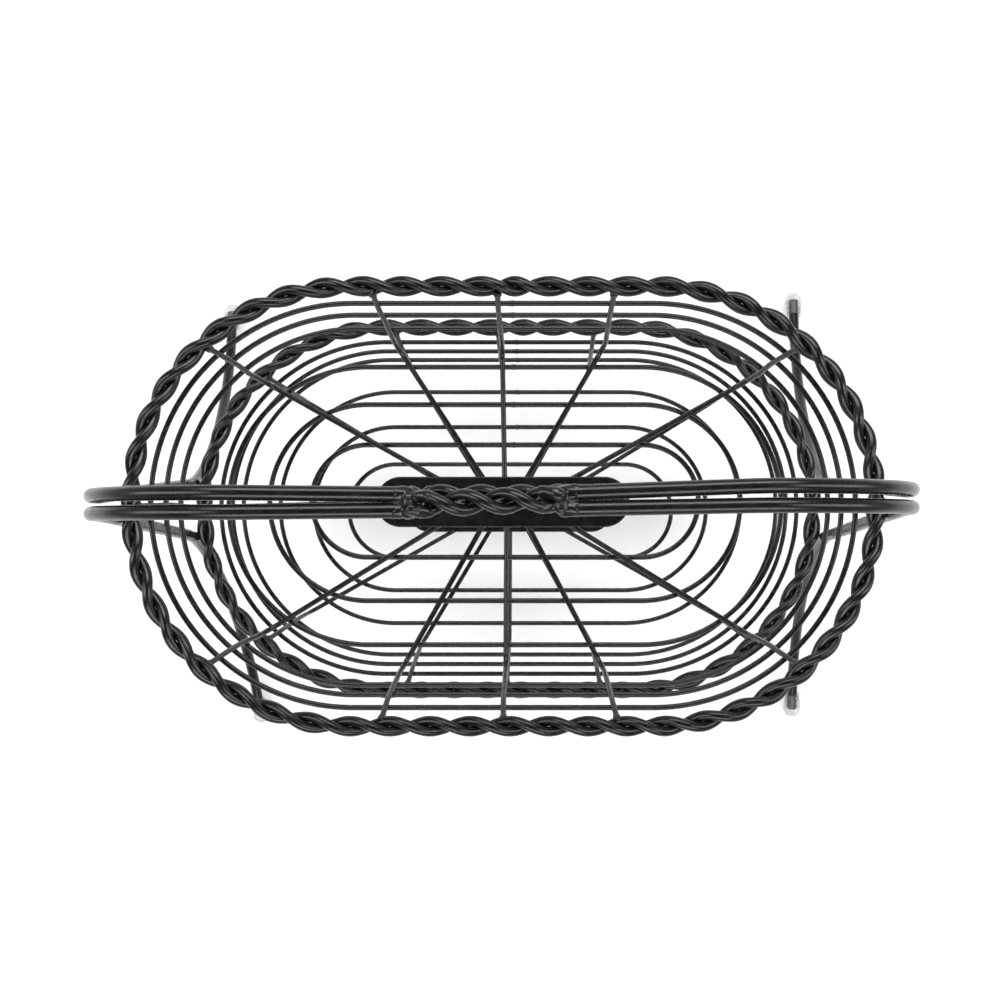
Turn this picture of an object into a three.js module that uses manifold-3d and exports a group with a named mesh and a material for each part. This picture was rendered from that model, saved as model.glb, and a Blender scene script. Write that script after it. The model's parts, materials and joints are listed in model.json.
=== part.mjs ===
// Two-tier oval wire basket on a fixed frame of bent rods.
// Millimetres, +Z up. The origin is on the table under the middle of the stand;
// X runs along the length of the baskets and Y from the front (-) to the rear (+).
import * as THREE from "three";
import { mergeVertices } from "three/addons/utils/BufferGeometryUtils.js";
import Module from "manifold-3d";

const wasm = await Module();
wasm.setup();

// ---- Driving dimensions ----------------------------------------------------------------------

const gap = 0.3; // air between pieces that are welded or pushed together

// Every oval is two half circles joined by straights. A rim's radius is to the middle of its two
// strands and its height is that of its middle above the table. The rings, ribs and plate were
// welded by hand, so they sit a little left of the rim (shiftX) and a little behind it (back), and
// the rear or front ribs of a basket can all be a little to one side (ribShift).
const baskets = {
  upper: {
    rim: { straightHalf: 76, radius: 110, height: 317, turns: 26, back: -0.7 },
    shiftX: -1.2,
    sideBack: [0, 0.6, 0],
    floorBack: [0.9, 2.7, 3.6],
    plate: { halfLength: 69.9, left: 1.2, back: 3 },
    ribShift: { rear: 0, front: 0 },
  },
  lower: {
    rim: { straightHalf: 75, radius: 111, height: 151, turns: 24, back: 0.8 },
    shiftX: -0.5,
    sideBack: [1.5, 2, 2.6],
    floorBack: [2.8, 2.1, 0.5],
    plate: { halfLength: 67.5, left: 0, back: 0.5 },
    ribShift: { rear: -3.5, front: -1 },
  },
};
const arcSteps = 18; // steps in each half circle of a ring, so a step falls near every rib

const stepsPerTurn = 6;
const rimTwistRadius = 2.9; // from the rim's middle to the middle of a strand
const rimStrandRadius = 2.45;
const seamX = 6; // where the ends of every ring and rim strand meet, on the rear straight

// The walls are steeper at the ends than along the sides: a lower ring has longer straights.
const wireRadius = 1.45; // rings and ribs
const sideRings = [
  { radius: 103.6, longer: 1, drop: 18 },
  { radius: 99.6, longer: 1.5, drop: 36 },
  { radius: 95.6, longer: 2, drop: 54 },
];
const floorDrop = 80; // from the middle of the rim down to the middle of the floor rings
const floorStraightHalf = 76;
const floorRingRadii = [77, 54.4, 31.2];
const wireSides = 5;

// Ribs across the basket: X at the rim, at the bend and at the inner end under the plate.
const acrossRibs = [
  { depth: "rear", place: "left", rimX: -65.7, bendX: -60, endX: -8.6, endY: 8 },
  { depth: "rear", place: "middle", rimX: -3, bendX: -1.5, endX: 0, endY: 4 },
  { depth: "rear", place: "right", rimX: 55.5, bendX: 55, endX: 9, endY: 8 },
  { depth: "front", place: "left", rimX: -61, bendX: -57, endX: -9.4, endY: 8 },
  { depth: "front", place: "middle", rimX: 0, bendX: 0.5, endX: 1, endY: 4 },
  { depth: "front", place: "right", rimX: 57, bendX: 54.5, endX: 10, endY: 8 },
];
// Ribs at the corners leave the rim at one angle from the X axis and turn to another by the bend.
const cornerRib = {
  rimAngle: THREE.MathUtils.degToRad(48),
  bendAngle: THREE.MathUtils.degToRad(51),
  endX: 30,
  endY: 9,
};
const endRibX = 55; // inner end of the ribs at the two ends of the basket
const bendTop = { straightHalf: 77, radius: 89.6, drop: 67.5 }; // a rib's wall ends here
const bendPull = 2; // how far inside the top of the bend its corner lies
const bendRun = 9.6; // how far inside the top of the bend a rib lies flat on the floor
const bendSteps = 3;

const plateHalfWidth = 13.9;
const plateThickness = 1.5;
const plateCurveSteps = 8;

// Frame rods: four of them, each from the grip over the shoulder and down to a foot.
const rodRadius = 3.4;
const rodSides = 8;
const shoulderSteps = 8;
const legSteps = 13;
const handleHeight = 425; // middle of the rods along the top of the handle
const shoulderX = 195; // middle of the rods where they run down outside the rims
const shoulderRadius = 80;
const shoulderY = 4.2;
const shoulderBack = { left: -1.4, right: 1.4 }; // the handle is turned a little
const hipX = 194; // the rods leave the vertical here, a little above the lower rim
const hipY = 15;
const hipZ = 165;
// Ends of the rods. No two legs reach out alike, and the front left one leans in.
const feet = {
  rear_left: { x: -198.7, y: 141.6 },
  rear_right: { x: 199.8, y: 150.2 },
  front_left: { x: -178.3, y: -142 },
  front_right: { x: 198.7, y: -137.8 },
};
const footSlope = THREE.MathUtils.degToRad(20.6); // how steeply a leg meets the table
const legPull = { hip: 60, ankle: 58 }; // handles of the curve from the hip to the ankle
const hipLean = 2; // how far the hip's handle leans outwards, along Y

// Grip: four strands laid up as two twisted pairs, one on top of the other.
const gripMiddleX = -6.5;
const gripHalf = 28.5;
const gripPitch = 34.5;
const gripStrandRadius = 2.2;
const gripStrandSides = 6;
const gripStepsPerTurn = 8;
const gripStrandInset = 1.4; // the square ends of the slanting strands stop this short of the weld
const gripPairs = [
  { name: "upper", twistRadius: 3.4, y: -0.6, z: 2, phase: Math.PI },
  { name: "lower", twistRadius: 2.6, y: 1.6, z: -6.8, phase: Math.PI / 2 },
];
const gripWeld = { length: 8, halfWidth: 7.2, halfHeight: 10, z: -2.2, corner: 4 };
const weldCurveSteps = 4;

// End caps: soft clear sleeves with a domed end, pressed flat where they stand.
const capRadius = 5.85; // where the sleeve meets the dome
const capLipRadius = 4.75; // at the open end
const capBoreRadius = rodRadius + gap;
const capSleeve = 11;
const capDome = 6.8;
const capFlat = 0.6; // how much of the round end is pressed flat against the table
const capSides = 16;
const capDomeSteps = 4;
const ankleLength = capSleeve + 5; // the rod is straight for this length above its end

const mergeTolerance = 1e-4; // corners of a mesh closer than this are the same corner

// ---- Materials -------------------------------------------------------------------------------

const blackCoat = { color: 0x161617, roughness: 0.45, metalness: 0.25 };
const clearVinyl = { color: 0xdfe2e0, roughness: 0.2, metalness: 0, transparent: true, opacity: 0.5 };

function named(name, geometry, look) {
  const mesh = new THREE.Mesh(geometry, new THREE.MeshStandardMaterial(look));
  mesh.name = name;
  return mesh;
}

// ---- Wires -----------------------------------------------------------------------------------

// A wire's middle line through given stations, with one step of the tube to each station.
class Stations extends THREE.Curve {
  constructor(points) {
    super();
    this.points = points;
  }

  getPoint(t, target = new THREE.Vector3()) {
    const last = this.points.length - 1;
    const along = THREE.MathUtils.clamp(t, 0, 1) * last;
    const before = Math.min(Math.floor(along), last - 1);
    return target.lerpVectors(this.points[before], this.points[before + 1], along - before);
  }

  getUtoTmapping(u) {
    return u;
  }
}

function wire(points, radius, sides) {
  const section = new THREE.Shape();
  for (let i = 0; i < sides; i += 1) {
    const angle = (2 * Math.PI * i) / sides;
    const corner = new THREE.Vector2(radius * Math.cos(angle), radius * Math.sin(angle));
    if (i === 0) section.moveTo(corner.x, corner.y);
    else section.lineTo(corner.x, corner.y);
  }
  return new THREE.ExtrudeGeometry(section, {
    steps: points.length - 1,
    extrudePath: new Stations(points),
    bevelEnabled: false,
  });
}

// ---- Ovals -----------------------------------------------------------------------------------

function ovalLap({ straightHalf, radius }) {
  return 4 * straightHalf + 2 * Math.PI * radius;
}

// Point and outward direction at a length along the oval, anticlockwise from the seam.
function ovalAt(oval, length) {
  const { straightHalf, radius, back } = oval;
  const halfLap = ovalLap(oval) / 2;
  const fromCorner = length + straightHalf - seamX;
  const side = Math.floor(fromCorner / halfLap) % 2 === 0 ? 1 : -1;
  const travelled = fromCorner % halfLap;
  const alongStraight = Math.min(travelled, 2 * straightHalf);
  const turn = (travelled - alongStraight) / radius;
  const outward = new THREE.Vector3(-side * Math.sin(turn), side * Math.cos(turn), 0);
  const point = outward.clone().multiplyScalar(radius);
  point.x += side * (straightHalf - alongStraight);
  point.y += back;
  return { point, outward };
}

// A ring wire's ends butt together on the rear straight.
function ringPoints({ straightHalf, radius, shiftX, back, z }) {
  const points = [new THREE.Vector3(seamX - gap / 2, radius + back, z)];
  for (const side of [-1, 1]) {
    for (let i = 0; i <= arcSteps; i += 1) {
      const angle = Math.PI * (i / arcSteps - side / 2);
      const x = shiftX + side * straightHalf + radius * Math.cos(angle);
      points.push(new THREE.Vector3(x, radius * Math.sin(angle) + back, z));
    }
  }
  points.push(new THREE.Vector3(seamX + gap / 2, radius + back, z));
  return points;
}

// One of the two strands of a rim, twisted right-handed round the oval.
function rimStrandPoints(rim, phase) {
  const lap = ovalLap(rim);
  const steps = rim.turns * stepsPerTurn;
  const points = [];
  for (let i = 0; i <= steps; i += 1) {
    const length = gap / 2 + ((lap - gap) * i) / steps;
    const angle = phase + (2 * Math.PI * i) / stepsPerTurn;
    const { point, outward } = ovalAt(rim, length);
    point.addScaledVector(outward, rimTwistRadius * Math.cos(angle));
    point.z -= rimTwistRadius * Math.sin(angle);
    points.push(point);
  }
  return points;
}

// ---- Ribs ------------------------------------------------------------------------------------

// The wall of a rib stands inside the side rings; its floor lies on top of the floor rings.
const ribInset = 2 * wireRadius + gap;
const ribFloorZ = -floorDrop + ribInset;
const ribTopInset = rimTwistRadius + rimStrandRadius + gap + wireRadius;
const ribTopDrop = 1;

// The twelve ribs round a basket. sx, sy: its side and depth. angle: its direction from the X axis,
// at the rim and at the bend. fromMiddle: its X there, for a rib on a straight of the oval; the
// others are measured from the middle of the half circle at their end.
function ribLayout(ribShift) {
  const across = Math.PI / 2;
  const ribs = acrossRibs.map(({ depth, place, rimX, bendX, endX, endY }) => {
    const sy = depth === "rear" ? 1 : -1;
    const shift = ribShift[depth];
    return {
      name: `${depth}_${place}`, sx: 0, sy, angle: [across, across],
      fromMiddle: [rimX + shift, bendX + shift], end: [endX + shift, sy * endY],
    };
  });
  for (const [side, sx] of [["left", -1], ["right", 1]]) {
    for (const [depth, sy] of [["rear", 1], ["front", -1]]) {
      const { rimAngle, bendAngle, endX, endY } = cornerRib;
      ribs.push({
        name: `${depth}_${side}_corner`, sx, sy, angle: [rimAngle, bendAngle],
        fromMiddle: [0, 0], end: [sx * endX, sy * endY],
      });
    }
    ribs.push({
      name: `${side}_end`, sx, sy: 1, angle: [0, 0], fromMiddle: [0, 0], end: [sx * endRibX, 0],
    });
  }
  return ribs;
}

function ribPoints({ sx, sy, angle, fromMiddle, end }, tier) {
  const { rim, shiftX, sideBack, plate } = baskets[tier];
  const topRadius = rim.radius - ribTopInset;
  const at = (radius, z, straightHalf, shift, back) => {
    const share = Math.min((topRadius - radius) / (topRadius - bendTop.radius), 1);
    const turn = THREE.MathUtils.lerp(...angle, share);
    const middle = THREE.MathUtils.lerp(...fromMiddle, share);
    const reach = sx * (straightHalf + radius * Math.cos(turn));
    return new THREE.Vector3(middle + reach + shift, sy * radius * Math.sin(turn) + back, z);
  };
  const wall = [at(topRadius, -ribTopDrop, rim.straightHalf, 0, rim.back)];
  sideRings.forEach(({ radius, longer, drop }, i) => {
    wall.push(at(radius - ribInset, -drop, rim.straightHalf + longer, shiftX, sideBack[i]));
  });
  const inner = new THREE.Vector3(end[0] + shiftX, end[1] + plate.back, ribFloorZ);
  const top = at(bendTop.radius, -bendTop.drop, bendTop.straightHalf, shiftX, sideBack[2]);
  const onFloor = top.clone().setZ(ribFloorZ);
  const inwards = inner.clone().sub(onFloor).normalize();
  const bend = new THREE.QuadraticBezierCurve3(
    top,
    onFloor.clone().addScaledVector(inwards, bendPull),
    onFloor.clone().addScaledVector(inwards, bendRun),
  );
  return [...wall, ...bend.getPoints(bendSteps), inner];
}

// ---- One basket ------------------------------------------------------------------------------

function floorPlate({ halfLength }) {
  const outline = new THREE.Shape();
  const run = halfLength - plateHalfWidth;
  outline.absarc(run, 0, plateHalfWidth, -Math.PI / 2, Math.PI / 2);
  outline.absarc(-run, 0, plateHalfWidth, Math.PI / 2, (3 * Math.PI) / 2);
  return new THREE.ExtrudeGeometry(outline, {
    depth: plateThickness,
    curveSegments: plateCurveSteps,
    bevelEnabled: false,
  });
}

// Built about the middle of its own rim, so its pieces hang below z = 0.
function basket(tier) {
  const { rim, shiftX, sideBack, floorBack, plate, ribShift } = baskets[tier];
  const group = new THREE.Group();
  for (const [strand, phase] of [["a", 0], ["b", Math.PI]]) {
    const points = rimStrandPoints(rim, phase);
    group.add(named(`${tier}_rim_strand_${strand}`, wire(points, rimStrandRadius, wireSides), blackCoat));
  }
  sideRings.forEach(({ radius, longer, drop }, i) => {
    const straightHalf = rim.straightHalf + longer;
    const points = ringPoints({ straightHalf, radius, shiftX, back: sideBack[i], z: -drop });
    group.add(named(`${tier}_side_ring_${i + 1}`, wire(points, wireRadius, wireSides), blackCoat));
  });
  floorRingRadii.forEach((radius, i) => {
    const straightHalf = floorStraightHalf;
    const points = ringPoints({ straightHalf, radius, shiftX, back: floorBack[i], z: -floorDrop });
    group.add(named(`${tier}_floor_ring_${i + 1}`, wire(points, wireRadius, wireSides), blackCoat));
  });
  for (const layout of ribLayout(ribShift)) {
    const points = ribPoints(layout, tier);
    group.add(named(`${tier}_rib_${layout.name}`, wire(points, wireRadius, wireSides), blackCoat));
  }
  const strip = named(`${tier}_floor_plate`, floorPlate(plate), blackCoat);
  strip.position.set(shiftX - plate.left, plate.back, ribFloorZ + wireRadius + gap);
  group.add(strip);
  group.position.z = rim.height;
  return group;
}

// ---- Frame -----------------------------------------------------------------------------------

// One leg: a curve from the hip to the ankle, then straight into its cap to the foot.
// sx and sy are the signs of its side and depth; outward points along the foot.
function leg({ x, y }) {
  const sx = Math.sign(x);
  const sy = Math.sign(y);
  const hip = new THREE.Vector3(sx * hipX, sy * hipY, hipZ);
  const foot = new THREE.Vector3(x, y, capRadius - capFlat);
  const outward = new THREE.Vector3(foot.x - hip.x, foot.y - hip.y, 0);
  outward.setLength(Math.cos(footSlope));
  outward.z = -Math.sin(footSlope);
  const ankle = foot.clone().addScaledVector(outward, -ankleLength);
  const belowHip = new THREE.Vector3(hip.x, sy * (hipY + hipLean), hipZ - legPull.hip);
  const behindAnkle = ankle.clone().addScaledVector(outward, -legPull.ankle);
  return { curve: new THREE.CubicBezierCurve3(hip, belowHip, behindAnkle, ankle), foot, outward };
}

function rodPoints(end) {
  const sx = Math.sign(end.x);
  const sy = Math.sign(end.y);
  const back = sx < 0 ? shoulderBack.left : shoulderBack.right;
  const start = gripMiddleX + sx * (gripHalf + gripWeld.length + 2 * gap);
  const points = [new THREE.Vector3(start, sy * (rodRadius + gap / 2), handleHeight)];
  for (let i = 0; i <= shoulderSteps; i += 1) {
    const angle = (Math.PI / 2) * (1 - i / shoulderSteps);
    const x = shoulderX - shoulderRadius + shoulderRadius * Math.cos(angle);
    const z = handleHeight - shoulderRadius + shoulderRadius * Math.sin(angle);
    points.push(new THREE.Vector3(sx * x, sy * shoulderY + back, z));
  }
  const { curve, foot } = leg(end);
  return [...points, ...curve.getPoints(legSteps), foot];
}

// The sleeve is a cup turned about its own +Y axis, whose origin is the end of the rod.
function capProfile() {
  const points = [
    new THREE.Vector2(0, gap),
    new THREE.Vector2(capBoreRadius, gap),
    new THREE.Vector2(capBoreRadius, -capSleeve),
    new THREE.Vector2(capLipRadius, -capSleeve),
  ];
  for (let i = 0; i < capDomeSteps; i += 1) {
    const angle = ((Math.PI / 2) * i) / capDomeSteps;
    points.push(new THREE.Vector2(capRadius * Math.cos(angle), capDome * Math.sin(angle)));
  }
  points.push(new THREE.Vector2(0, capDome));
  return points;
}

function toManifold(geometry) {
  const bare = geometry.clone();
  bare.deleteAttribute("normal");
  bare.deleteAttribute("uv");
  const closed = mergeVertices(bare, mergeTolerance);
  return new wasm.Manifold(new wasm.Mesh({
    numProp: 3,
    vertProperties: new Float32Array(closed.attributes.position.array),
    triVerts: new Uint32Array(closed.index.array),
  }));
}

function fromManifold(solid) {
  const mesh = solid.getMesh();
  const geometry = new THREE.BufferGeometry();
  geometry.setAttribute("position", new THREE.BufferAttribute(mesh.vertProperties, 3));
  geometry.setIndex(new THREE.BufferAttribute(mesh.triVerts, 1));
  geometry.computeVertexNormals();
  return geometry;
}

// The cap in place on its leg, with everything below the table pressed away.
function cap(end) {
  const { foot, outward } = leg(end);
  const turn = new THREE.Quaternion().setFromUnitVectors(new THREE.Vector3(0, 1, 0), outward);
  const sleeve = new THREE.LatheGeometry(capProfile(), capSides);
  sleeve.applyQuaternion(turn);
  sleeve.translate(foot.x, foot.y, foot.z);
  const size = 8 * capRadius;
  const table = new THREE.BoxGeometry(size, size, size);
  table.translate(foot.x, foot.y, -size / 2);
  return fromManifold(toManifold(sleeve).subtract(toManifold(table)));
}

// ---- Grip ------------------------------------------------------------------------------------

function gripStrandPoints(pair, phase) {
  const half = gripHalf - gripStrandInset;
  const steps = Math.round((2 * half * gripStepsPerTurn) / gripPitch);
  const points = [];
  for (let i = 0; i <= steps; i += 1) {
    const x = -half + (2 * half * i) / steps;
    const angle = pair.phase + phase + (2 * Math.PI * (x + gripMiddleX)) / gripPitch;
    const y = pair.y + pair.twistRadius * Math.cos(angle);
    const z = pair.z + pair.twistRadius * Math.sin(angle);
    points.push(new THREE.Vector3(x, y, z));
  }
  return points;
}

// A lump of weld that joins two rods to the four strands.
function weldLump() {
  const { length, halfWidth, halfHeight, corner } = gripWeld;
  const outline = new THREE.Shape();
  const w = halfWidth - corner;
  const h = halfHeight - corner;
  outline.absarc(w, h, corner, 0, Math.PI / 2);
  outline.absarc(-w, h, corner, Math.PI / 2, Math.PI);
  outline.absarc(-w, -h, corner, Math.PI, (3 * Math.PI) / 2);
  outline.absarc(w, -h, corner, (3 * Math.PI) / 2, 2 * Math.PI);
  const lump = new THREE.ExtrudeGeometry(outline, {
    depth: length,
    curveSegments: weldCurveSteps,
    bevelEnabled: false,
  });
  lump.translate(0, 0, -length / 2);
  lump.rotateZ(Math.PI / 2);
  lump.rotateY(Math.PI / 2);
  return lump;
}

// Built about the middle of the grip, level with the middle of the rods.
function grip() {
  const group = new THREE.Group();
  for (const pair of gripPairs) {
    for (const [strand, phase] of [["a", 0], ["b", Math.PI]]) {
      const points = gripStrandPoints(pair, phase);
      const name = `grip_${pair.name}_strand_${strand}`;
      group.add(named(name, wire(points, gripStrandRadius, gripStrandSides), blackCoat));
    }
  }
  for (const [end, sx] of [["left", -1], ["right", 1]]) {
    const weld = named(`grip_weld_${end}`, weldLump(), blackCoat);
    weld.position.set(sx * (gripHalf + gap + gripWeld.length / 2), 0, gripWeld.z);
    group.add(weld);
  }
  group.position.set(gripMiddleX, 0, handleHeight);
  return group;
}

// ---- Assembly --------------------------------------------------------------------------------

// Built with the handle over Y = 0, then moved so that the origin is midway between the feet.
const stand = new THREE.Group();
stand.add(basket("upper"), basket("lower"), grip());
for (const [place, end] of Object.entries(feet)) {
  stand.add(named(`rod_${place}`, wire(rodPoints(end), rodRadius, rodSides), blackCoat));
  stand.add(named(`foot_cap_${place}`, cap(end), clearVinyl));
}
stand.position.y = -(feet.rear_right.y + feet.front_left.y) / 2;

export default stand;
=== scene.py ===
"""Looks of the tiered wire produce basket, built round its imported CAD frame.

Metres, +Z up. The origin is on the table under the middle of the stand; X runs along the baskets and
Y from the front to the rear. Every visible piece is a fine mesh that stands for one CAD node.
"""
import json
import math

import bpy
import numpy as np
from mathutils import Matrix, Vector, noise


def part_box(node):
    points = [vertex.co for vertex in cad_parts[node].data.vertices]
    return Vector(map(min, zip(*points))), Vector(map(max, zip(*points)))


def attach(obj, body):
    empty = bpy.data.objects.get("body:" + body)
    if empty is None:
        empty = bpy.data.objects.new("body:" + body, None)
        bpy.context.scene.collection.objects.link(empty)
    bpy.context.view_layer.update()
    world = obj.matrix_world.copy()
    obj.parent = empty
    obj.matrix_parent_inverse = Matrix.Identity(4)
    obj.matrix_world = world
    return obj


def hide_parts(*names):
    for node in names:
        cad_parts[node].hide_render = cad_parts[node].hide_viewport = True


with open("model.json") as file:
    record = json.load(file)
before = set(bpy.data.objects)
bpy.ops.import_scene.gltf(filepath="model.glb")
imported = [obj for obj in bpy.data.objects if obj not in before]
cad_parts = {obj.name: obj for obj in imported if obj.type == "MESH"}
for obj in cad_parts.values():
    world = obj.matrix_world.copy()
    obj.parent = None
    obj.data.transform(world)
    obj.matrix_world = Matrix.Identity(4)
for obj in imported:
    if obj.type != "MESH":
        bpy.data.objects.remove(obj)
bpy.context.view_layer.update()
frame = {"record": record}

# ---- Driving dimensions ------------------------------------------------------------------------

MM = 0.001
X, Y, Z = np.eye(3)
TIERS = ("upper", "lower")
DEPTHS = {"rear": 1, "front": -1}  # signs along Y
SIDES = {"left": -1, "right": 1}  # signs along X

WIRE = 1.45 * MM  # radius of the rings and ribs
RIM_STRAND = 2.6 * MM
RIM_TWIST = 2.62 * MM  # from the rim's middle to the middle of a strand
RIM_REACH = 5.35 * MM  # from the rim's middle to the outside of its CAD strands
RIM_LEFT = {"upper": 1.6 * MM, "lower": 0.8 * MM}  # how far the left end bulges past its CAD strands
RIM_TURNS = {"upper": 26, "lower": 24}
RIM_SEAM = {"upper": 5 * MM, "lower": 11 * MM}  # X of the strands' joint, on the rear straight
SEAM_HALF_TURN = {"upper": 14 * MM, "lower": 16 * MM}  # the half turn there is shorter than the rest
RIM_POINTS_PER_TURN = 40
RIM_START = {"upper": 0.0, "lower": -0.53}  # the twist's angle at the joint, in radians
# The twist is a little uneven: sine and cosine of one wave to a lap, then of two, in radians.
RIM_DRIFT = {"upper": (0.06, 0.71, -0.34, -0.1), "lower": (-0.62, -0.36, -0.05, 0.12)}

RING_SEAM = 5 * MM  # X of every ring's butt weld, on its rear straight
RING_STEP = 1.2 * MM  # between the points of a ring's line

RIB_INSET = 3.2 * MM  # from the middle of a ring to the middle of a rib welded to it
RIB_TOP_INSET = 3.2 * MM  # how far inside the rim's middle a rib ends
RIB_STEP = 0.7 * MM  # between the points of a rib's line
RIB_SOFTENING = 16  # passes that round the corners of a rib's line
RIB_TOP_STEPS = 30  # steps over which a rib's top leans, to find which way is outward
RIB_ON_FLOOR = 0.3 * MM  # a rib this near to its lowest level lies on the floor rings
RIB_BEND_TOP = {"straight": 77 * MM, "radius": 89.6 * MM, "drop": 67.5 * MM}
RIB_BEND_PULL = 2 * MM  # how far inside the top of the bend its corner lies
RIB_BEND_RUN = 9.6 * MM  # how far inside the top of the bend a rib lies flat on the floor
# Ribs across the basket: X at the rim and at the bend, then their inner end under the plate, in mm.
ACROSS_RIBS = {
    "rear": {"left": (-65.7, -60, -8.6, 8), "middle": (-3, -1.5, 0, 4), "right": (55.5, 55, 9, 8)},
    "front": {"left": (-61, -57, -9.4, -8), "middle": (0, 0.5, 1, -4), "right": (57, 54.5, 10, -8)},
}
RIB_SHIFT = {"upper": {"rear": 0, "front": 0}, "lower": {"rear": -3.5, "front": -1}}  # along X, in mm
CORNER_RIB_ANGLES = (math.radians(48), math.radians(51))  # from the X axis, at the rim and the bend
CORNER_RIB_END = (30, 9)  # X and Y of its inner end, in mm
END_RIB_X = 55  # of the inner end of the ribs at the two ends of the basket, in mm

PLATE_EDGE = 0.65 * MM  # how far in the rounding of a plate's edge reaches
PLATE_BORDER = 6 * MM  # width of the outer band of a plate's faces

ROD = 3.4 * MM
ROD_STEP = 1.5 * MM
ROD_SOFTENING = 24
ROD_TIP = 0.2  # how far its cut end bulges, as a share of its radius
SHOULDER_RADIUS = 80 * MM
SHOULDER_X = {"left": 195.4 * MM, "right": 194.2 * MM}
SHOULDER_Y = 4.2 * MM
# The handle is turned a little: how far back each end of the grip and each shoulder is.
GRIP_BACK = {"left": -1.0 * MM, "right": -0.3 * MM}
SHOULDER_BACK = {"left": -1 * MM, "right": 2 * MM}
HIP = {"x": 194 * MM, "y": 15 * MM, "z": 165 * MM}
HIP_LEAN = 2 * MM
LEG_PULL = {"hip": 60 * MM, "ankle": 58 * MM}
FOOT_SLOPE = math.radians(20.6)
ANKLE = 16 * MM  # straight length above the end of a rod

GRIP_HALF = 28.5 * MM
GRIP_PITCH = 34.5 * MM
GRIP_STRAND = 2.6 * MM
GRIP_POINTS = 160  # along a strand
GRIP_OVERLAP = 3 * MM  # how far a strand runs into the weld at each end
GRIP_WELD = 8 * MM  # length of the lump of weld at each end of the grip
WELD_BLOB = 3.3 * MM  # radius of the blob that bridges the rods there
WELD_BLOB_Y = {"left": (-5.2 * MM, 0.6 * MM), "right": (-3 * MM, 3 * MM)}
WELD_BLOB_Z = (1.5 * MM, -3 * MM)
WELD_ROD_OVERLAP = 2.5 * MM  # how far the weld's skin over a rod reaches past the rod's end
WELD_SKIN = {"rod": 0.25 * MM, "strand": 0.3 * MM}  # how thick the weld lies on each of them
WELD_REACH = {"rod": 4, "strand": 20}  # points of their lines that the weld covers
WELD_TIP = 0.9  # how far the ends of the weld's parts bulge, as a share of their radius
WELD_VOXEL = 0.45 * MM
WELD_SMOOTHING = 8  # passes
WELD_LUMP_SIZE = 3 * MM
WELD_LUMP_HEIGHT = 0.5 * MM

CAP_SLEEVE = 11 * MM
CAP_DOME = 6.8 * MM
CAP_RADIUS = 5.85 * MM
CAP_LIP_RADIUS = 4.75 * MM
CAP_BORE = 3.3 * MM  # the sleeve grips the rod, so its skin is hidden inside the rod's
CAP_BORE_END = 0.25 * MM  # how far past the end of the rod its bore reaches
# Points round the lip: how far in from its radius, and how far from the open end.
CAP_LIP_ROUNDING = ((0.5 * MM, 0), (0.1 * MM, 0.12 * MM), (0, 0.5 * MM))
CAP_FLAT = 0.6 * MM  # how much of the round end is pressed flat
CAP_FLAT_AHEAD = 0.6 * MM  # the middle of the flat is this far past the end of the rod
CAP_SIDES = 40

RIM_SIDES = 24
RING_SIDES = 16
RIB_SIDES = 18
ROD_SIDES = 28
GRIP_SIDES = 24

# ---- Welds, as swells of a wire: height and half length ----------------------------------------

RIM_JOINT = (0.35 * MM, 1.6 * MM)
RING_JOINT = (0.22 * MM, 1.1 * MM)
RIB_TO_RIM = {"outward": (0.9 * MM, 2.5 * MM), "sideways": (0.8 * MM, 2.6 * MM)}
RIB_TO_RIM_FROM_END = {"outward": 2.5 * MM, "sideways": 1.5 * MM}
RIB_TO_RING = (0.75 * MM, 1.5 * MM)
RIB_TO_PLATE = (0.6 * MM, 3.5 * MM)
RIB_TO_PLATE_FROM_END = 4 * MM
ROD_TO_RIM = (1.3 * MM, 3.5 * MM)
FAR_AWAY = 1.0  # stands in for a distance that is not to be considered

# ---- Vectors and lines -------------------------------------------------------------------------


def unit(vectors):
    return vectors / np.linalg.norm(vectors, axis=-1, keepdims=True)


def resample(points, step):
    """The same line with its points evenly spaced, about a step apart."""
    lengths = np.linalg.norm(np.diff(points, axis=0), axis=1)
    along = np.concatenate([[0], np.cumsum(lengths)])
    count = max(2, int(round(along[-1] / step)) + 1)
    even = np.linspace(0, along[-1], count)
    return np.stack([np.interp(even, along, points[:, k]) for k in range(3)], axis=1)


def soften(points, passes):
    """Rounds the corners of an evenly spaced line and keeps its ends."""
    for _ in range(passes):
        inner = (points[:-2] + 2 * points[1:-1] + points[2:]) / 4
        points = np.concatenate([points[:1], inner, points[-1:]])
    return points


def bezier(p0, p1, p2, p3, count):
    t = np.linspace(0, 1, count)[:, None]
    s = 1 - t
    return s**3 * p0 + 3 * s**2 * t * p1 + 3 * s * t**2 * p2 + t**3 * p3


def turned(vector, axis, angle):
    return (
        vector * math.cos(angle)
        + np.cross(axis, vector) * math.sin(angle)
        + axis * (axis @ vector) * (1 - math.cos(angle))
    )


def frames_along(points, closed):
    """Tangents, and normals that turn as little as they can along the line."""
    if closed:
        tangents = unit(np.roll(points, -1, axis=0) - np.roll(points, 1, axis=0))
    else:
        tangents = unit(np.gradient(points, axis=0))
    start = Z if abs(tangents[0] @ Z) < 0.9 else X
    normals = np.empty_like(points)
    normals[0] = unit(np.cross(tangents[0], start))
    for i in range(1, len(points)):
        carried = normals[i - 1] - tangents[i] * (normals[i - 1] @ tangents[i])
        normals[i] = unit(carried)
    if closed:
        last = unit(normals[-1] - tangents[0] * (normals[-1] @ tangents[0]))
        miss = math.atan2(np.cross(last, normals[0]) @ tangents[0], last @ normals[0])
        for i in range(len(points)):
            normals[i] = turned(normals[i], tangents[i], miss * i / len(points))
    return tangents, normals


# ---- Meshes ------------------------------------------------------------------------------------


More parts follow.
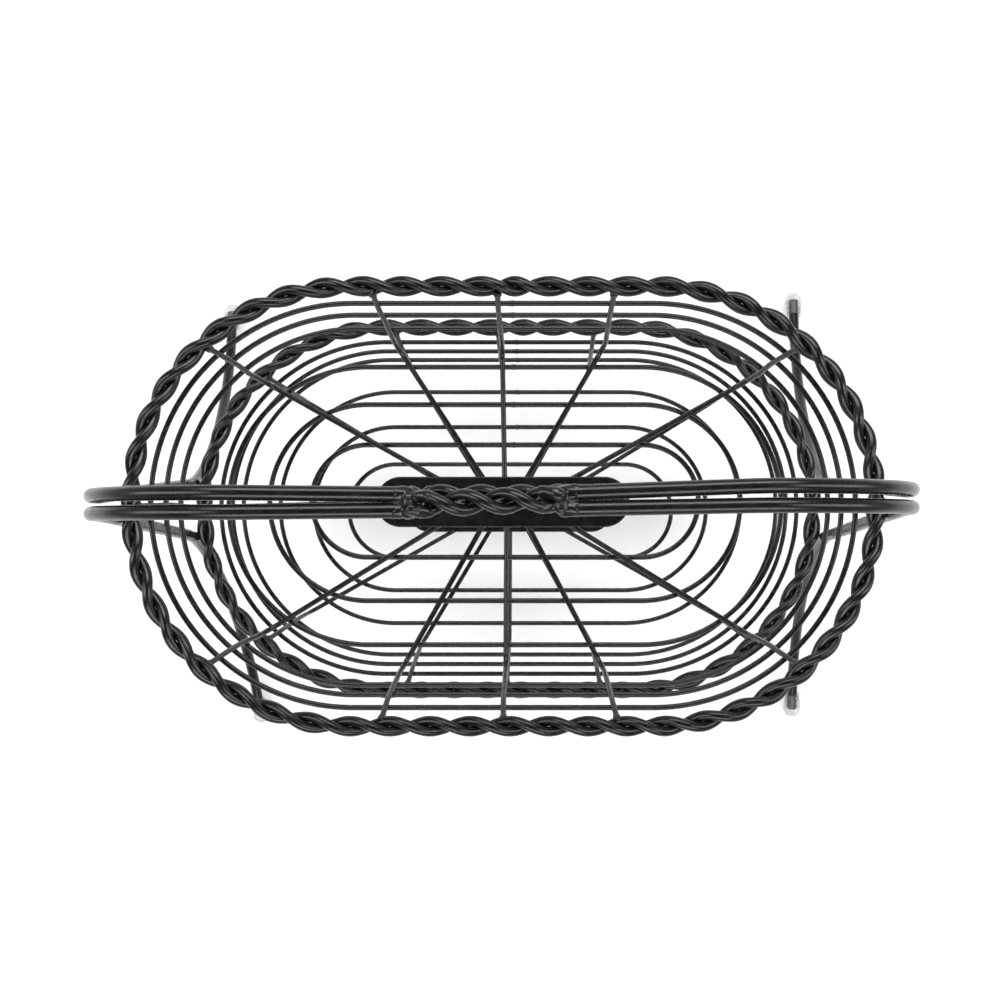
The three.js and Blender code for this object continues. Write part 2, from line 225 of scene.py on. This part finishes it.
def make_object(name, vertices, faces):
    mesh = bpy.data.meshes.new(name)
    mesh.from_pydata(np.asarray(vertices).reshape(-1, 3).tolist(), [], faces)
    mesh.validate()
    mesh.shade_smooth()
    piece = bpy.data.objects.new(name, mesh)
    bpy.context.scene.collection.objects.link(piece)
    return piece


def ring_faces(rings, sides, closed):
    faces = []
    for i in range(rings if closed else rings - 1):
        a, b = i * sides, ((i + 1) % rings) * sides
        for j in range(sides):
            k = (j + 1) % sides
            faces.append((a + j, a + k, b + k, b + j))
    return faces


END_ROUNDING_ANGLES = [math.radians(a) for a in (28, 52, 70, 82)]  # rings that round a cut end


def closed_faces(rings, sides):
    """Faces of a tube whose last two vertices are the poles that close its two ends."""
    faces = ring_faces(rings, sides, False)
    first, second, last_ring = rings * sides, rings * sides + 1, (rings - 1) * sides
    for j in range(sides):
        k = (j + 1) % sides
        faces.append((first, k, j))
        faces.append((second, last_ring + j, last_ring + k))
    return faces


def tube_mesh(points, radius, sides, swells=(), closed=False, end_rounding=0.35):
    """Vertices and faces of a round wire along a line.

    swells: (place along the line, direction, height, half length) of each weld that stands proud of
    the wire. end_rounding: how far a cut end bulges, as a share of the radius.
    """
    tangents, normals = frames_along(points, closed)
    binormals = np.cross(tangents, normals)
    angles = 2 * math.pi * np.arange(sides) / sides
    out = (
        normals[:, None, :] * np.cos(angles)[None, :, None]
        + binormals[:, None, :] * np.sin(angles)[None, :, None]
    )
    radii = np.full(out.shape[:2], float(radius))
    steps = np.linalg.norm(np.diff(points, axis=0), axis=1)
    along = np.concatenate([[0], np.cumsum(steps)])
    for place, direction, height, half_length in swells:
        near = np.exp(-(((along - place) / half_length) ** 2))
        facing = np.clip(out @ unit(np.asarray(direction, float)), 0, 1) ** 2
        radii += height * near[:, None] * facing
    rings = points[:, None, :] + out * radii[..., None]
    if closed:
        return rings.reshape(-1, 3), ring_faces(len(points), sides, True)
    bulge = end_rounding * radius

    def end_rings(point, outward, rim):
        return [
            point + outward * bulge * math.sin(a) + (rim - point) * math.cos(a) ** 0.6
            for a in END_ROUNDING_ANGLES
        ]

    head = end_rings(points[0], -tangents[0], rings[0])[::-1]
    tail = end_rings(points[-1], tangents[-1], rings[-1])
    every = np.concatenate([head, rings, tail])
    poles = [points[0] - tangents[0] * bulge, points[-1] + tangents[-1] * bulge]
    return np.concatenate([every.reshape(-1, 3), poles]), closed_faces(len(every), sides)


def tube(name, points, radius, sides, **options):
    vertices, faces = tube_mesh(points, radius, sides, **options)
    return make_object(name, vertices, faces)


# ---- Materials ---------------------------------------------------------------------------------


def new_material(name):
    material = bpy.data.materials.new(name)
    material.use_nodes = True
    nodes, links = material.node_tree.nodes, material.node_tree.links
    return material, nodes, links, nodes["Principled BSDF"]


def add_noise(nodes, links, coordinates, scale, detail):
    texture = nodes.new("ShaderNodeTexNoise")
    texture.inputs["Scale"].default_value = scale
    texture.inputs["Detail"].default_value = detail
    links.new(coordinates.outputs["Object"], texture.inputs["Vector"])
    return texture


def spread(nodes, links, texture, low, high, start=0.35, stop=0.65):
    """The texture's value, stretched to run from low to high."""
    ranged = nodes.new("ShaderNodeMapRange")
    ranged.inputs["From Min"].default_value = start
    ranged.inputs["From Max"].default_value = stop
    ranged.inputs["To Min"].default_value = low
    ranged.inputs["To Max"].default_value = high
    links.new(texture.outputs["Fac"], ranged.inputs["Value"])
    return ranged


def add_bump(nodes, links, texture, strength, distance):
    bump = nodes.new("ShaderNodeBump")
    bump.inputs["Strength"].default_value = strength
    bump.inputs["Distance"].default_value = distance
    links.new(texture.outputs["Fac"], bump.inputs["Height"])
    return bump


def powder_coat():
    """Near-black satin powder coat: faint orange peel, fine grit, and a slow drift in tone."""
    material, nodes, links, shader = new_material("black_powder_coat")
    coordinates = nodes.new("ShaderNodeTexCoord")
    drift = add_noise(nodes, links, coordinates, 60, 3)
    tone = nodes.new("ShaderNodeValToRGB")
    tone.color_ramp.elements[0].position = 0.3
    tone.color_ramp.elements[0].color = (0.0025, 0.0025, 0.0028, 1)
    tone.color_ramp.elements[1].position = 0.7
    tone.color_ramp.elements[1].color = (0.006, 0.0058, 0.006, 1)
    links.new(drift.outputs["Fac"], tone.inputs["Fac"])
    links.new(tone.outputs["Color"], shader.inputs["Base Color"])
    patches = add_noise(nodes, links, coordinates, 240, 4)
    rough = spread(nodes, links, patches, 0.22, 0.31)
    links.new(rough.outputs["Result"], shader.inputs["Roughness"])
    peel = add_noise(nodes, links, coordinates, 900, 2)
    grit = add_noise(nodes, links, coordinates, 3800, 2)
    peel_bump = add_bump(nodes, links, peel, 0.3, 0.12 * MM)
    grit_bump = add_bump(nodes, links, grit, 0.35, 0.02 * MM)
    links.new(peel_bump.outputs["Normal"], grit_bump.inputs["Normal"])
    links.new(grit_bump.outputs["Normal"], shader.inputs["Normal"])
    shader.inputs["Specular IOR Level"].default_value = 0.4
    return material


def clear_vinyl():
    """Soft clear vinyl, a little cloudy, with the ripples of a dipped skin."""
    material, nodes, links, shader = new_material("clear_vinyl")
    coordinates = nodes.new("ShaderNodeTexCoord")
    haze = add_noise(nodes, links, coordinates, 300, 3)
    rough = spread(nodes, links, haze, 0.12, 0.28)
    links.new(rough.outputs["Result"], shader.inputs["Roughness"])
    ripple = add_noise(nodes, links, coordinates, 450, 2)
    bump = add_bump(nodes, links, ripple, 0.6, 0.2 * MM)
    links.new(bump.outputs["Normal"], shader.inputs["Normal"])
    shader.inputs["Base Color"].default_value = (0.86, 0.87, 0.86, 1)
    shader.inputs["Transmission Weight"].default_value = 0.85
    shader.inputs["IOR"].default_value = 1.3
    shader.inputs["Alpha"].default_value = 0.5
    return material


BLACK = powder_coat()
VINYL = clear_vinyl()


def install(piece, node, material):
    """The piece stands for a CAD node, in that node's place and with its finish."""
    piece.data.materials.append(material)
    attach(piece, "root")
    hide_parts(node)


def install_black(piece, node):
    install(piece, node, BLACK)


# ---- Ovals -------------------------------------------------------------------------------------


class Oval:
    """Two half circles joined by straights, round the middle of a CAD box.

    reach: from the oval's line to the outside of the CAD piece. Lengths run anticlockwise from the
    seam, which is on the rear straight.
    """

    def __init__(self, low, high, reach, seam):
        self.middle = np.array((low + high) / 2)
        self.radius = (high.y - low.y) / 2 - reach
        self.straight = (high.x - low.x) / 2 - reach - self.radius
        self.height = self.middle[2]
        self.seam = seam
        self.lap = 4 * self.straight + 2 * math.pi * self.radius

    def at(self, lengths):
        """Points and outward directions at these lengths."""
        half_lap = self.lap / 2
        from_corner = (np.asarray(lengths) + self.straight - self.seam) % self.lap
        side = np.where(from_corner < half_lap, 1.0, -1.0)
        travelled = from_corner % half_lap
        gone = np.minimum(travelled, 2 * self.straight)
        turn = (travelled - gone) / self.radius
        flat = np.zeros_like(turn)
        outward = np.stack([-side * np.sin(turn), side * np.cos(turn), flat], axis=1)
        points = self.middle + outward * self.radius
        points[:, 0] += side * (self.straight - gone)
        return points, outward


def ring_oval(node):
    low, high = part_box(node)
    return Oval(low, high, WIRE, RING_SEAM)


def rim_oval(tier):
    """The oval between a rim's two strands."""
    low_a, high_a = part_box(f"{tier}_rim_strand_a")
    low_b, high_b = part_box(f"{tier}_rim_strand_b")
    low = Vector(map(min, low_a, low_b))
    high = Vector(map(max, high_a, high_b))
    low.x -= RIM_LEFT[tier]
    return Oval(low, high, RIM_REACH, RIM_SEAM[tier])


RIMS = {tier: rim_oval(tier) for tier in TIERS}
SIDE_RINGS = {t: [ring_oval(f"{t}_side_ring_{i}") for i in (1, 2, 3)] for t in TIERS}
FLOOR_RINGS = {t: [ring_oval(f"{t}_floor_ring_{i}") for i in (1, 2, 3)] for t in TIERS}


def rim_twist(tier, lengths):
    """Angle of the twist along the rim. Its half turn at the joint is tighter than the others."""
    lap = RIMS[tier].lap
    half = SEAM_HALF_TURN[tier] / 2
    knots = [0, half, lap - half, lap]
    full = 2 * math.pi * RIM_TURNS[tier]
    even = np.interp(lengths, knots, [0, math.pi / 2, full - math.pi / 2, full])
    way = 2 * math.pi * lengths / lap
    sin_1, cos_1, sin_2, cos_2 = RIM_DRIFT[tier]
    once = sin_1 * np.sin(way) + cos_1 * (np.cos(way) - 1)
    twice = sin_2 * np.sin(2 * way) + cos_2 * (np.cos(2 * way) - 1)
    return RIM_START[tier] + even + once + twice


def rim_strand(tier, phase):
    oval = RIMS[tier]
    count = RIM_TURNS[tier] * RIM_POINTS_PER_TURN
    lengths = oval.lap * np.arange(count) / count
    centres, outward = oval.at(lengths)
    angle = phase + rim_twist(tier, lengths)
    offset = outward * np.cos(angle)[:, None] - Z * np.sin(angle)[:, None]
    return centres + RIM_TWIST * offset


def ring_points(oval):
    count = int(oval.lap / RING_STEP)
    return oval.at(oval.lap * np.arange(count) / count)[0]


def build_rims():
    for tier in TIERS:
        for strand, phase in (("a", 0), ("b", math.pi)):
            points = rim_strand(tier, phase)
            bead = [(0, Z, *RIM_JOINT)]
            name = f"{tier}_rim_wire_{strand}"
            piece = tube(name, points, RIM_STRAND, RIM_SIDES, swells=bead, closed=True)
            install_black(piece, f"{tier}_rim_strand_{strand}")


def build_rings():
    for tier in TIERS:
        for kind, ovals in (("side", SIDE_RINGS), ("floor", FLOOR_RINGS)):
            for i, oval in enumerate(ovals[tier], start=1):
                bead = [(0, side, *RING_JOINT) for side in (Y, -Y, Z, -Z)]
                points = ring_points(oval)
                name = f"{tier}_{kind}_wire_{i}"
                piece = tube(name, points, WIRE, RING_SIDES, swells=bead, closed=True)
                install_black(piece, f"{tier}_{kind}_ring_{i}")


# ---- Ribs --------------------------------------------------------------------------------------


def oval_distance(points, oval):
    """How far outside the oval's middle line each point is, seen from above."""
    x, y = (points - oval.middle)[:, :2].T
    return np.hypot(np.maximum(np.abs(x) - oval.straight, 0), y) - oval.radius


def rib_layout(tier):
    """Name, side (0 for a rib across the straights), depth, angle, X from the middle, inner end.

    The angle and the X are each a pair, at the rim and at the bend.
    """
    square = (math.pi / 2, math.pi / 2)
    ribs = []
    for depth, places in ACROSS_RIBS.items():
        sy = DEPTHS[depth]
        shift = RIB_SHIFT[tier][depth]
        for place, (rim_x, bend_x, end_x, end_y) in places.items():
            from_middle = ((rim_x + shift) * MM, (bend_x + shift) * MM)
            ribs.append((f"{depth}_{place}", 0, sy, square, from_middle, (end_x + shift, end_y)))
    for side, sx in SIDES.items():
        for depth, sy in DEPTHS.items():
            end = (sx * CORNER_RIB_END[0], sy * CORNER_RIB_END[1])
            ribs.append((f"{depth}_{side}_corner", sx, sy, CORNER_RIB_ANGLES, (0, 0), end))
        ribs.append((f"{side}_end", sx, 1, (0, 0), (0, 0), (sx * END_RIB_X, 0)))
    return ribs


def rib_line(tier, sx, sy, angles, from_middle, end):
    """A rib's middle line from its end on the rim, down the wall and in to the plate."""
    rim = RIMS[tier]
    lowest_side, first_floor = SIDE_RINGS[tier][-1], FLOOR_RINGS[tier][0]
    plate_low, plate_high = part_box(f"{tier}_floor_plate")
    floor_z = first_floor.height + RIB_INSET
    top_radius = rim.radius - RIB_TOP_INSET

    def at(radius, z, straight, middle):
        share = min((top_radius - radius) / (top_radius - RIB_BEND_TOP["radius"]), 1)
        turn = angles[0] + (angles[1] - angles[0]) * share
        across = from_middle[0] + (from_middle[1] - from_middle[0]) * share
        x = middle[0] + across + sx * (straight + radius * math.cos(turn))
        return np.array([x, middle[1] + sy * radius * math.sin(turn), z])

    wall = [at(top_radius, rim.height, rim.straight, rim.middle)]
    for ring in SIDE_RINGS[tier]:
        wall.append(at(ring.radius - RIB_INSET, ring.height, ring.straight, ring.middle))
    inner = X * first_floor.middle[0] + Y * (plate_low.y + plate_high.y) / 2 + Z * floor_z
    inner += (X * end[0] + Y * end[1]) * MM
    drop, straight = RIB_BEND_TOP["drop"], RIB_BEND_TOP["straight"]
    bend_top = at(RIB_BEND_TOP["radius"], rim.height - drop, straight, lowest_side.middle)
    on_floor = bend_top * (1, 1, 0) + Z * floor_z
    inwards = unit(inner - on_floor)
    corner = on_floor + inwards * RIB_BEND_PULL
    bend_end = on_floor + inwards * RIB_BEND_RUN
    t = np.linspace(0, 1, 9)[:, None]
    bend = (1 - t) ** 2 * bend_top + 2 * t * (1 - t) * corner + t**2 * bend_end
    return soften(resample(np.array([*wall, *bend, inner]), RIB_STEP), RIB_SOFTENING)


def rib_swells(tier, points):
    """The welds to the rim, to each ring and to the plate."""
    step = np.linalg.norm(points[1] - points[0])
    outward = unit((points[0] - points[RIB_TOP_STEPS]) * (1, 1, 0))
    sideways = np.cross(outward, Z)
    swells = [
        (RIB_TO_RIM_FROM_END["outward"], outward, *RIB_TO_RIM["outward"]),
        (RIB_TO_RIM_FROM_END["sideways"], sideways, *RIB_TO_RIM["sideways"]),
        (RIB_TO_RIM_FROM_END["sideways"], -sideways, *RIB_TO_RIM["sideways"]),
    ]
    for ring in SIDE_RINGS[tier]:
        place = np.argmin(np.abs(points[:, 2] - ring.height)) * step
        swells.append((place, outward, *RIB_TO_RING))
    on_floor = np.abs(points[:, 2] - points[-1, 2]) < RIB_ON_FLOOR
    for ring in FLOOR_RINGS[tier]:
        away = np.where(on_floor, np.abs(oval_distance(points, ring)), FAR_AWAY)
        if away.min() < WIRE:
            swells.append((np.argmin(away) * step, -Z, *RIB_TO_RING))
    length = step * (len(points) - 1)
    swells.append((length - RIB_TO_PLATE_FROM_END, Z, *RIB_TO_PLATE))
    return swells


def build_ribs():
    for tier in TIERS:
        for name, *place in rib_layout(tier):
            points = rib_line(tier, *place)
            swells = rib_swells(tier, points)
            piece = tube(f"{tier}_upright_{name}", points, WIRE, RIB_SIDES, swells=swells)
            install_black(piece, f"{tier}_rib_{name}")


# ---- Floor plates ------------------------------------------------------------------------------


def build_plates():
    """A flat strip with round ends, its edge rounded over by the coat."""
    for tier in TIERS:
        low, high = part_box(f"{tier}_floor_plate")
        half_width, thick = (high.y - low.y) / 2, high.z - low.z
        run = (high.x - low.x) / 2 - half_width
        middle = np.array((low + high) / 2)
        angles = np.linspace(-math.pi / 2, math.pi / 2, 33)
        arc = np.stack([np.cos(angles), np.sin(angles)], axis=1)
        profile = [(PLATE_BORDER, -thick / 2), (PLATE_EDGE, -thick / 2)]
        for a in np.linspace(-math.pi / 2, math.pi / 2, 7):
            profile.append((PLATE_EDGE * (1 - math.cos(a)), thick / 2 * math.sin(a)))
        profile += [(PLATE_EDGE, thick / 2), (PLATE_BORDER, thick / 2)]
        rings = []
        for inset, z in profile:
            right = arc * (half_width - inset) + (run, 0)
            outline = np.concatenate([right, -right])
            rings.append(middle + np.column_stack([outline, np.full(len(outline), z)]))
        sides = len(rings[0])
        faces = ring_faces(len(rings), sides, False)
        faces.append(tuple(reversed(range(sides))))
        faces.append(tuple(range((len(rings) - 1) * sides, len(rings) * sides)))
        piece = make_object(f"{tier}_plate", np.concatenate(rings), faces)
        install_black(piece, f"{tier}_floor_plate")


# ---- Frame rods --------------------------------------------------------------------------------


MOUNTS = {mount["name"]: np.array(mount["pos_m"]) for mount in frame["record"]["mounts"]}


def grip_middle():
    """The middle of the grip, level with the middle of the rods."""
    left_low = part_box("grip_weld_left")[0]
    right_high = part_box("grip_weld_right")[1]
    middle = (left_low + right_high) / 2
    return np.array([middle.x, middle.y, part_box("rod_rear_left")[1].z - ROD])


GRIP_MIDDLE = grip_middle()


def hip_of(depth, side):
    return np.array([SIDES[side] * HIP["x"], GRIP_MIDDLE[1] + DEPTHS[depth] * HIP["y"], HIP["z"]])


def foot_of(depth, side):
    """End of a rod, and the direction it points in, from the flat under its foot."""
    flat = MOUNTS[f"foot_{depth}_{side}"]
    along = unit((flat - hip_of(depth, side)) * (1, 1, 0))
    outward = along * math.cos(FOOT_SLOPE) - Z * math.sin(FOOT_SLOPE)
    return flat - along * CAP_FLAT_AHEAD + Z * (CAP_RADIUS - CAP_FLAT), outward


def rod_line(depth, side):
    sx, sy = SIDES[side], DEPTHS[depth]
    start = GRIP_MIDDLE + X * sx * (GRIP_HALF + GRIP_WELD) + Y * (sy * ROD + GRIP_BACK[side])
    angles = np.linspace(math.pi / 2, 0, 33)
    bend = np.stack([
        sx * (SHOULDER_X[side] - SHOULDER_RADIUS + SHOULDER_RADIUS * np.cos(angles)),
        np.full(len(angles), GRIP_MIDDLE[1] + sy * SHOULDER_Y + SHOULDER_BACK[side]),
        GRIP_MIDDLE[2] - SHOULDER_RADIUS + SHOULDER_RADIUS * np.sin(angles),
    ], axis=1)
    foot, outward = foot_of(depth, side)
    hip = hip_of(depth, side)
    below_hip = hip + Y * sy * HIP_LEAN - Z * LEG_PULL["hip"]
    ankle = foot - outward * ANKLE
    leg = bezier(hip, below_hip, ankle - outward * LEG_PULL["ankle"], ankle, 60)
    points = np.concatenate([[start], bend, leg, [foot]])
    return soften(resample(points, ROD_STEP), ROD_SOFTENING)


def build_rods():
    for depth in DEPTHS:
        for side, sx in SIDES.items():
            points = rod_line(depth, side)
            step = np.linalg.norm(points[1] - points[0])
            swells = []
            for tier in TIERS:
                away = np.abs(points[:, 2] - RIMS[tier].height)
                swells.append((np.argmin(away) * step, -X * sx, *ROD_TO_RIM))
            name = f"frame_rod_{depth}_{side}"
            piece = tube(name, points, ROD, ROD_SIDES, swells=swells, end_rounding=ROD_TIP)
            install_black(piece, f"rod_{depth}_{side}")


# ---- Foot caps ---------------------------------------------------------------------------------


def cap_profile():
    """Radius, and distance past the end of the rod, from the bottom of the bore out to the dome."""
    profile = [(CAP_BORE * 0.6, CAP_BORE_END), (CAP_BORE, 0.1 * MM)]
    profile += [(CAP_BORE, -CAP_SLEEVE * t) for t in (0.2, 0.4, 0.6, 0.8, 0.97)]
    profile.append((CAP_BORE + 0.25 * MM, -CAP_SLEEVE))
    for inwards, ahead in CAP_LIP_ROUNDING:
        profile.append((CAP_LIP_RADIUS - inwards, -CAP_SLEEVE + ahead))
    for t in np.linspace(0.15, 1, 8):
        ease = t * t * (3 - 2 * t)
        radius = CAP_LIP_RADIUS + (CAP_RADIUS - CAP_LIP_RADIUS) * ease
        profile.append((radius, -CAP_SLEEVE * (1 - t)))
    for a in np.linspace(0, math.pi / 2, 12)[1:-1]:
        profile.append((CAP_RADIUS * math.cos(a), CAP_DOME * math.sin(a)))
    return profile


def build_caps():
    """Clear sleeves that widen to a solid domed end, pressed flat where they stand."""
    profile = cap_profile()
    angles = 2 * math.pi * np.arange(CAP_SIDES) / CAP_SIDES
    for depth in DEPTHS:
        for side in SIDES:
            foot, outward = foot_of(depth, side)
            normal = unit(np.cross(outward, Z))
            binormal = np.cross(outward, normal)
            spokes = np.cos(angles)[:, None] * normal + np.sin(angles)[:, None] * binormal
            rings = [foot + outward * along + spokes * radius for radius, along in profile]
            poles = [foot + outward * CAP_BORE_END, foot + outward * CAP_DOME]
            vertices = np.concatenate([*rings, poles])
            vertices[:, 2] = np.maximum(vertices[:, 2], 0.0)
            faces = closed_faces(len(rings), CAP_SIDES)
            piece = make_object(f"clear_cap_{depth}_{side}", vertices, faces)
            install(piece, f"foot_cap_{depth}_{side}", VINYL)


# ---- Grip --------------------------------------------------------------------------------------

GRIP_PAIRS = {
    "upper": {"twist": 3.3 * MM, "left": (-1.9, 2), "right": (0.4, 2), "phase": 2.87},
    "lower": {"twist": 2.7 * MM, "left": (1.6, -4.6), "right": (1.6, -4.6), "phase": math.pi / 2},
}


def grip_strand(pair, phase):
    """A strand's middle line. left and right: Y and Z of the pair's axis at each end, in mm."""
    reach = GRIP_HALF + GRIP_OVERLAP
    x = np.linspace(-reach, reach, GRIP_POINTS)
    share = (x / reach + 1) / 2
    left, right = np.array(pair["left"]) * MM, np.array(pair["right"]) * MM
    axis = left + (right - left) * share[:, None]
    angle = pair["phase"] + phase + 2 * math.pi * (x + GRIP_MIDDLE[0]) / GRIP_PITCH
    y = axis[:, 0] + pair["twist"] * np.cos(angle)
    z = axis[:, 1] + pair["twist"] * np.sin(angle)
    return GRIP_MIDDLE + np.stack([x, y, z], axis=1)


def remeshed(shells, name):
    """One skin over several closed shells, softened and a little lumpy."""
    vertices, faces, start = [], [], 0
    for part_vertices, part_faces in shells:
        vertices.append(part_vertices)
        faces += [tuple(start + i for i in face) for face in part_faces]
        start += len(part_vertices)
    piece = make_object(name, np.concatenate(vertices), faces)
    remesh = piece.modifiers.new("one skin", "REMESH")
    remesh.mode = "VOXEL"
    remesh.voxel_size = WELD_VOXEL
    soft = piece.modifiers.new("soft", "SMOOTH")
    soft.iterations = WELD_SMOOTHING
    graph = bpy.context.evaluated_depsgraph_get()
    skin = bpy.data.meshes.new_from_object(piece.evaluated_get(graph))
    piece.modifiers.clear()
    piece.data = skin
    for vertex in skin.vertices:
        vertex.co += vertex.normal * noise.noise(vertex.co / WELD_LUMP_SIZE) * WELD_LUMP_HEIGHT
    skin.shade_smooth()
    return piece


def weld_shells(side):
    """The closed shells that a weld at one end of the grip is made of."""
    sx = SIDES[side]
    lines = []
    across = np.linspace(*WELD_BLOB_Y[side], 12)[:, None] * Y
    for z in WELD_BLOB_Z:
        middle = GRIP_MIDDLE + X * sx * (GRIP_HALF + GRIP_WELD / 2)
        lines.append((middle + across + Z * z, WELD_BLOB))
    for depth in DEPTHS:
        end = rod_line(depth, side)[:WELD_REACH["rod"]]
        lines.append((end - X * sx * WELD_ROD_OVERLAP, ROD + WELD_SKIN["rod"]))
    for pair in GRIP_PAIRS.values():
        for phase in (0, math.pi):
            strand = grip_strand(pair, phase)
            reach = WELD_REACH["strand"]
            tip = strand[-reach:] if sx > 0 else strand[:reach]
            lines.append((tip, GRIP_STRAND + WELD_SKIN["strand"]))
    return [tube_mesh(line, radius, GRIP_SIDES, end_rounding=WELD_TIP) for line, radius in lines]


def build_grip():
    for pair_name, pair in GRIP_PAIRS.items():
        for strand, phase in (("a", 0), ("b", math.pi)):
            points = grip_strand(pair, phase)
            piece = tube(f"rope_{pair_name}_{strand}", points, GRIP_STRAND, GRIP_SIDES)
            install_black(piece, f"grip_{pair_name}_strand_{strand}")
    for side in SIDES:
        weld = remeshed(weld_shells(side), f"grip_weld_bead_{side}")
        install_black(weld, f"grip_weld_{side}")


# ---- Stage -------------------------------------------------------------------------------------


FLOOR_HALF = 6.0  # metres
SOFTBOXES = (  # name, place, size and power, in metres and watts
    ("rear_softbox", (0, 1.15, 1.35), (1.6, 0.6), 23),
    ("front_softbox", (0, -1.15, 1.35), (1.6, 0.6), 18),
    ("left_softbox", (-1.25, 0, 1.3), (0.6, 1.4), 13),
    ("right_softbox", (1.25, 0, 1.3), (0.6, 1.4), 13),
)
LIGHT_TARGET = (0, 0, 0.2)
WALL_LIGHT = 0.6  # the room is pale at eye level and dark overhead
CEILING_LIGHT = 0.05
WALL_TOP, CEILING_EDGE = 0.1, 0.5  # as the sine of the angle above eye level
LENS = 53.28  # mm
SENSOR = 36  # mm
SHIFT = (-0.02975, 0.033)
# The eye, in metres: to the right of the stand's middle, in front of the grip's, and above the table.
EYE = {"right": 0.0125, "front": 0.0141, "height": 1.057}


def build_stage():
    material, _, _, shader = new_material("floor")
    shader.inputs["Base Color"].default_value = (0.97, 0.97, 0.97, 1)
    shader.inputs["Roughness"].default_value = 0.9
    half = FLOOR_HALF
    corners = [(-half, -half, 0), (half, -half, 0), (half, half, 0), (-half, half, 0)]
    floor = make_object("floor", corners, [(0, 1, 2, 3)])
    floor.data.materials.append(material)


def area_light(name, place, size, power):
    light = bpy.data.lights.new(name, "AREA")
    light.shape = "RECTANGLE"
    light.size, light.size_y = size
    light.energy = power
    lamp = bpy.data.objects.new(name, light)
    lamp.location = place
    lamp.rotation_euler = (Vector(LIGHT_TARGET) - Vector(place)).to_track_quat("-Z", "Y").to_euler()
    bpy.context.scene.collection.objects.link(lamp)


def build_lights():
    world = bpy.data.worlds.new("studio")
    world.use_nodes = True
    nodes, links = world.node_tree.nodes, world.node_tree.links
    direction = nodes.new("ShaderNodeTexCoord")
    parts = nodes.new("ShaderNodeSeparateXYZ")
    links.new(direction.outputs["Generated"], parts.inputs["Vector"])
    wall = nodes.new("ShaderNodeMapRange")
    wall.inputs["From Min"].default_value = WALL_TOP
    wall.inputs["From Max"].default_value = CEILING_EDGE
    wall.inputs["To Min"].default_value = WALL_LIGHT
    wall.inputs["To Max"].default_value = CEILING_LIGHT
    links.new(parts.outputs["Z"], wall.inputs["Value"])
    links.new(wall.outputs["Result"], nodes["Background"].inputs["Strength"])
    nodes["Background"].inputs["Color"].default_value = (1, 1, 1, 1)
    bpy.context.scene.world = world
    for name, place, size, power in SOFTBOXES:
        area_light(name, place, size, power)
    bpy.context.scene.view_settings.view_transform = "Standard"


def build_camera():
    """Straight down on the stand, a little off its middle, which the shift brings back into frame."""
    camera = bpy.data.cameras.new("camera")
    camera.lens = LENS
    camera.sensor_width = SENSOR
    camera.shift_x, camera.shift_y = SHIFT
    eye = bpy.data.objects.new("camera", camera)
    eye.location = (EYE["right"], GRIP_MIDDLE[1] - EYE["front"], EYE["height"])
    bpy.context.scene.collection.objects.link(eye)
    bpy.context.scene.camera = eye


build_camera()
build_rims()
build_rings()
build_ribs()
build_plates()
build_rods()
build_caps()
build_grip()
build_stage()
build_lights()
